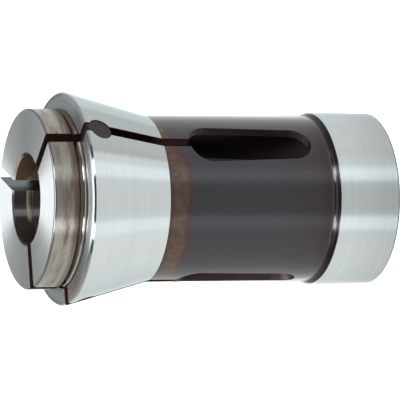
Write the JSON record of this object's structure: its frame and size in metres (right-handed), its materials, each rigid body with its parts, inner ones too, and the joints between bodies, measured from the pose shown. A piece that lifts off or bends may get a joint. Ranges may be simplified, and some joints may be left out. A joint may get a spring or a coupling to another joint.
{
  "type": "push-type collet",
  "caption": "Slit steel clamping sleeve with a tapered head, an extended nose, sprung jaws parted by rubber-sealed slits, long windows and a ground guide ring at the tail.",
  "frame": {"origin": "centre of the tail face, on the collet's axis", "axes": "+Z along the collet's axis from the tail to the nose, +X through the middle of the first jaw slit, +Y makes it right-handed"},
  "size_m": [0.0583, 0.0584, 0.1007],
  "materials": {
    "spring_steel": "ground bright on taper, face and guide ring, blackened on the spring part",
    "seal_rubber": "matt"
  },
  "bodies": {
    "root": {"collet_body": "spring_steel", "slot_seal_1": "seal_rubber", "slot_seal_2": "seal_rubber", "slot_seal_3": "seal_rubber"}
  },
  "joints": []
}
